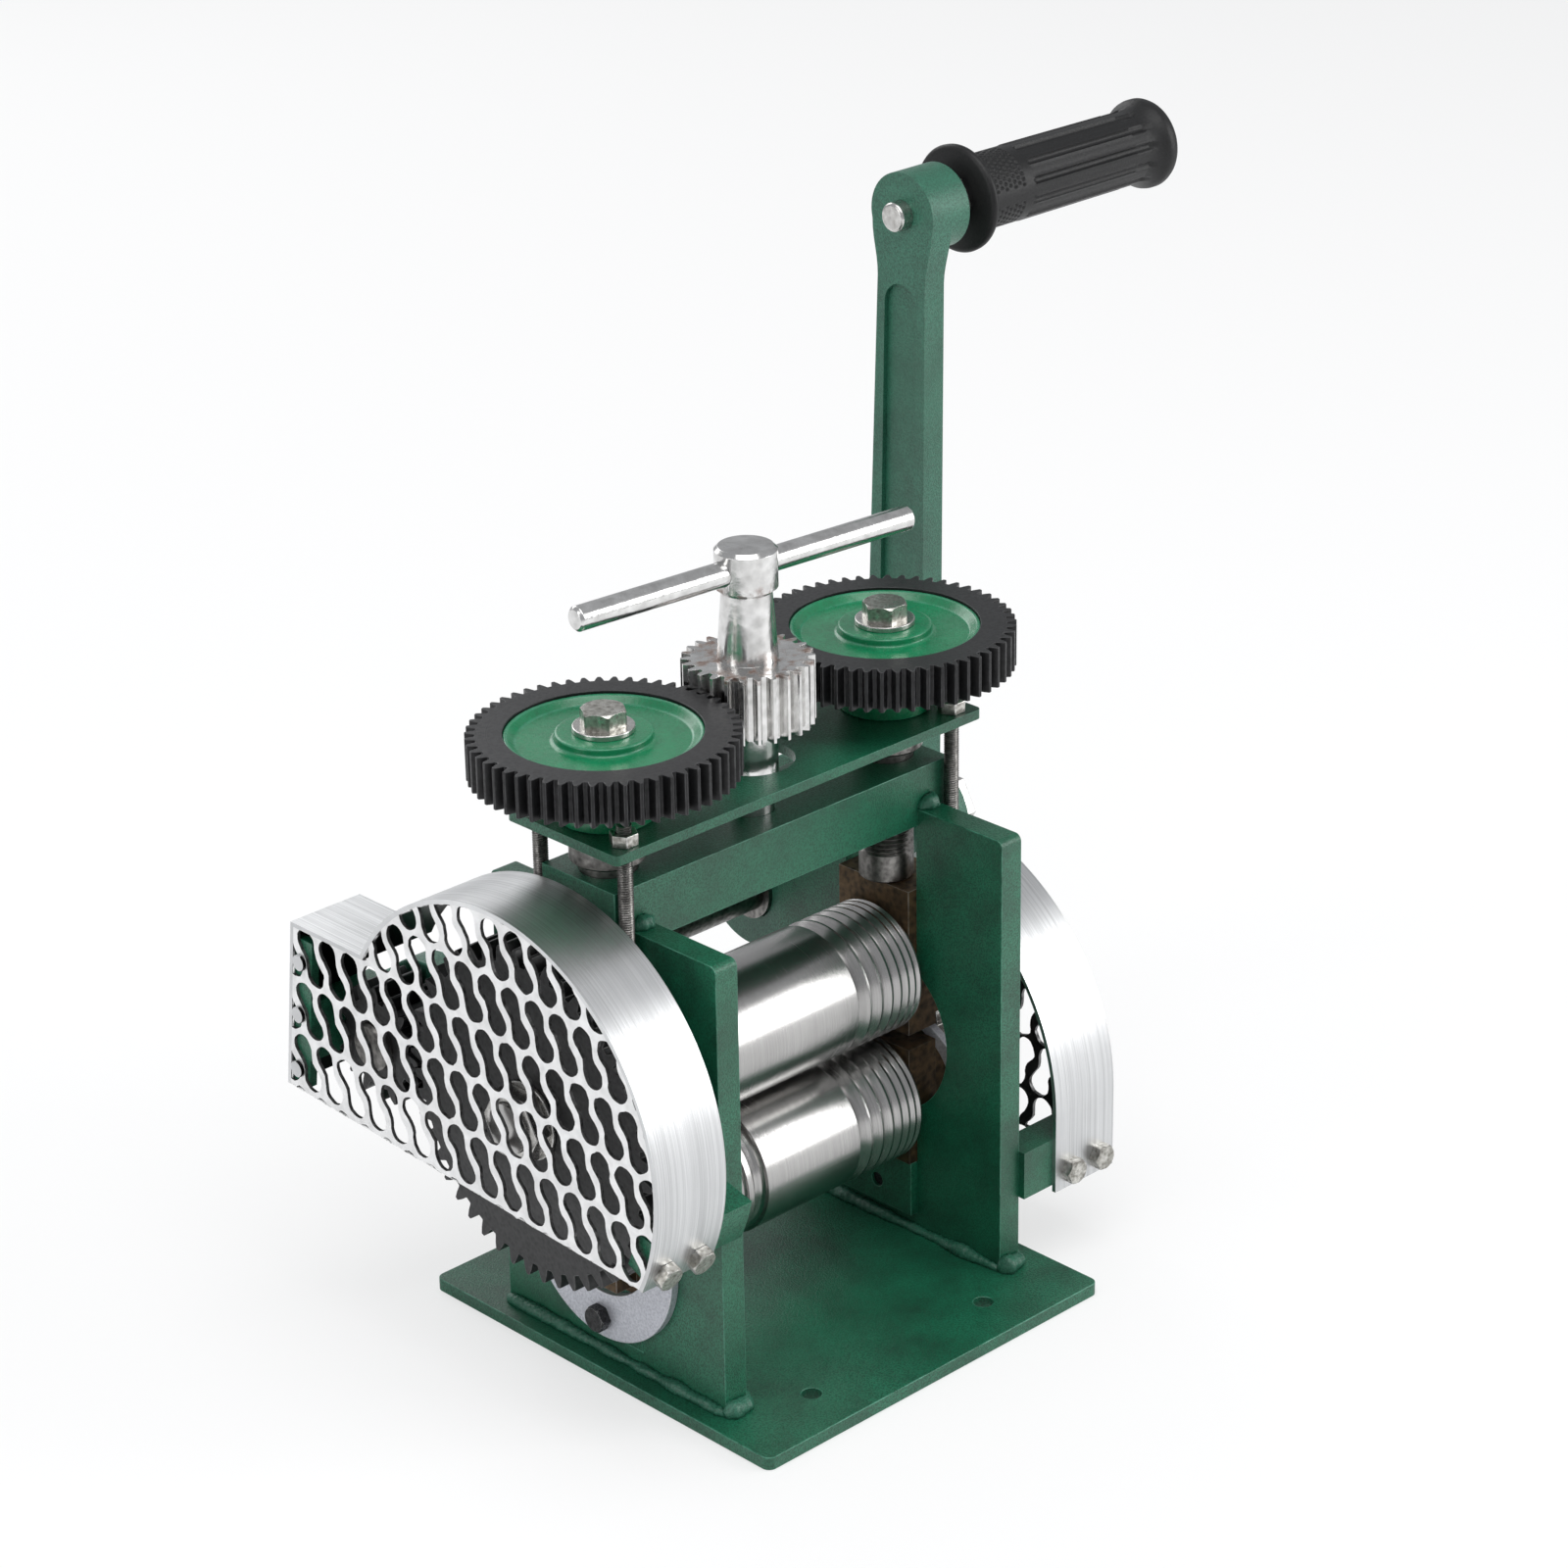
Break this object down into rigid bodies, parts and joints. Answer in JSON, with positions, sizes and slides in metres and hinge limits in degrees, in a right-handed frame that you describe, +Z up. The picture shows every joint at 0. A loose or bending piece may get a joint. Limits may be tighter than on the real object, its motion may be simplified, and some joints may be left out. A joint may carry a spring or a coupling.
{
  "type": "jewellers rolling mill",
  "caption": "Hand-cranked bench rolling mill with grooved steel rollers, geared screw-down T-handle, perforated gear guards and a long crank with a turning rubber grip.",
  "frame": {"origin": "centre of the base plate's underside", "axes": "+X along the rollers towards the crank, +Y from the feed side towards the crank shaft, +Z up"},
  "size_m": [0.3653, 0.1883, 0.3404],
  "materials": {
    "green_paint": "hammered green enamel",
    "rough_green_casting": "rough-cast, speckled green enamel",
    "bright_green_centre": "glossier green enamel",
    "polished_steel": "ground and polished",
    "zinc_steel": "bright zinc plate",
    "galvanised_plate": "dull galvanised",
    "dark_steel": "oiled turned steel",
    "black_gear": "blackened, turned faces",
    "bronze_block": "dull brown bronze",
    "guard_aluminium": "brushed sheet",
    "grip_rubber": "moulded, satin"
  },
  "bodies": {
    "frame": {"base_plate": "green_paint", "side_plate_left": "green_paint", "side_plate_right": "green_paint", "cross_beam": "green_paint", "weld_beads": "green_paint", "bearing_block_lower_left": "bronze_block", "bearing_block_lower_right": "bronze_block", "block_support_left": "green_paint", "block_support_right": "green_paint", "retainer_left": "galvanised_plate", "retainer_right": "galvanised_plate", "crank_lug_left": "rough_green_casting", "crank_lug_right": "rough_green_casting", "guard_bracket_left_front": "green_paint", "guard_bracket_left_back": "green_paint", "guard_brackets_right": "green_paint", "guard_band_left": "guard_aluminium", "guard_band_right": "guard_aluminium", "guard_sheet_left": "guard_aluminium", "guard_sheet_right": "guard_aluminium", "small_hex_bolts": "zinc_steel", "guard_rivets": "guard_aluminium"},
    "t_handle": {"adjuster_spindle": "zinc_steel", "t_bar": "zinc_steel"},
    "lift_carriage": {"lift_plate": "green_paint", "lift_studs": "dark_steel", "stud_nuts": "zinc_steel", "bearing_block_upper_left": "bronze_block", "bearing_block_upper_right": "bronze_block"},
    "left_screw": {"pressure_screw_left": "dark_steel", "adjusting_gear_left": "black_gear", "gear_centre_left": "bright_green_centre", "gear_bolt_left": "zinc_steel", "gear_washer_left": "zinc_steel"},
    "right_screw": {"pressure_screw_right": "dark_steel", "adjusting_gear_right": "black_gear", "gear_centre_right": "bright_green_centre", "gear_bolt_right": "zinc_steel", "gear_washer_right": "zinc_steel"},
    "crank_bushes": {"crank_bush_left": "dark_steel", "crank_bush_right": "dark_steel"},
    "crank": {"crank_shaft": "dark_steel", "drive_pinion": "zinc_steel", "shaft_collar": "dark_steel", "crank_arm": "rough_green_casting", "crank_nut": "zinc_steel", "grip_spindle": "zinc_steel", "spindle_nut": "zinc_steel"},
    "grip": {"grip_tube": "zinc_steel", "grip_rubber": "grip_rubber"},
    "upper_roller": {"roller_upper": "polished_steel", "drive_gear": "black_gear", "sync_gear_upper": "zinc_steel", "roller_nuts_upper": "zinc_steel"},
    "lower_roller": {"roller_lower": "polished_steel", "sync_gear_lower": "zinc_steel", "roller_nuts_lower": "zinc_steel"}
  },
  "joints": [
    {"name": "t_handle_turn", "type": "hinge", "parent": "frame", "child": "t_handle", "pos_m": [0, 0.00275, 0.2], "axis": [0, 0, 1], "range_deg": [-600, 1348]},
    {"name": "roller_lift", "type": "slide", "parent": "frame", "child": "lift_carriage", "axis": [0, 0, 1], "range_m": [-0.0027, 0.0012]},
    {"name": "left_screw_turn", "type": "hinge", "parent": "lift_carriage", "child": "left_screw", "pos_m": [-0.06, 0.00275, 0.2], "axis": [0, 0, 1], "range_deg": [-650, 290]},
    {"name": "right_screw_turn", "type": "hinge", "parent": "lift_carriage", "child": "right_screw", "pos_m": [0.06, 0.00275, 0.2], "axis": [0, 0, 1], "range_deg": [-650, 290]},
    {"name": "bush_turn", "type": "hinge", "parent": "frame", "child": "crank_bushes", "pos_m": [0, 0.07475, 0.0998], "axis": [1, 0, 0], "range_deg": [-4.5, 9]},
    {"name": "crank_turn", "type": "hinge", "parent": "crank_bushes", "child": "crank", "pos_m": [0, 0.07475, 0.0998], "axis": [1, 0, 0], "continuous": true},
    {"name": "grip_turn", "type": "hinge", "parent": "crank", "child": "grip", "pos_m": [0.2, 0.06854, 0.32211], "axis": [1, 0, 0], "continuous": true},
    {"name": "upper_roller_turn", "type": "hinge", "parent": "lift_carriage", "child": "upper_roller", "pos_m": [0, 0.00275, 0.0998], "axis": [1, 0, 0], "continuous": true},
    {"name": "lower_roller_turn", "type": "hinge", "parent": "frame", "child": "lower_roller", "pos_m": [0, 0.00275, 0.0519], "axis": [1, 0, 0], "continuous": true}
  ],
  "couplings": [
    {"joint": "t_handle_turn", "follows": "roller_lift", "rad_per_m": -8699.8},
    {"joint": "left_screw_turn", "follows": "roller_lift", "rad_per_m": 4188.8},
    {"joint": "right_screw_turn", "follows": "roller_lift", "rad_per_m": 4188.8},
    {"joint": "bush_turn", "follows": "roller_lift", "rad_per_m": -55.553},
    {"joint": "upper_roller_turn", "follows": "crank_turn", "ratio": -0.33333},
    {"joint": "lower_roller_turn", "follows": "crank_turn", "ratio": 0.33333}
  ]
}
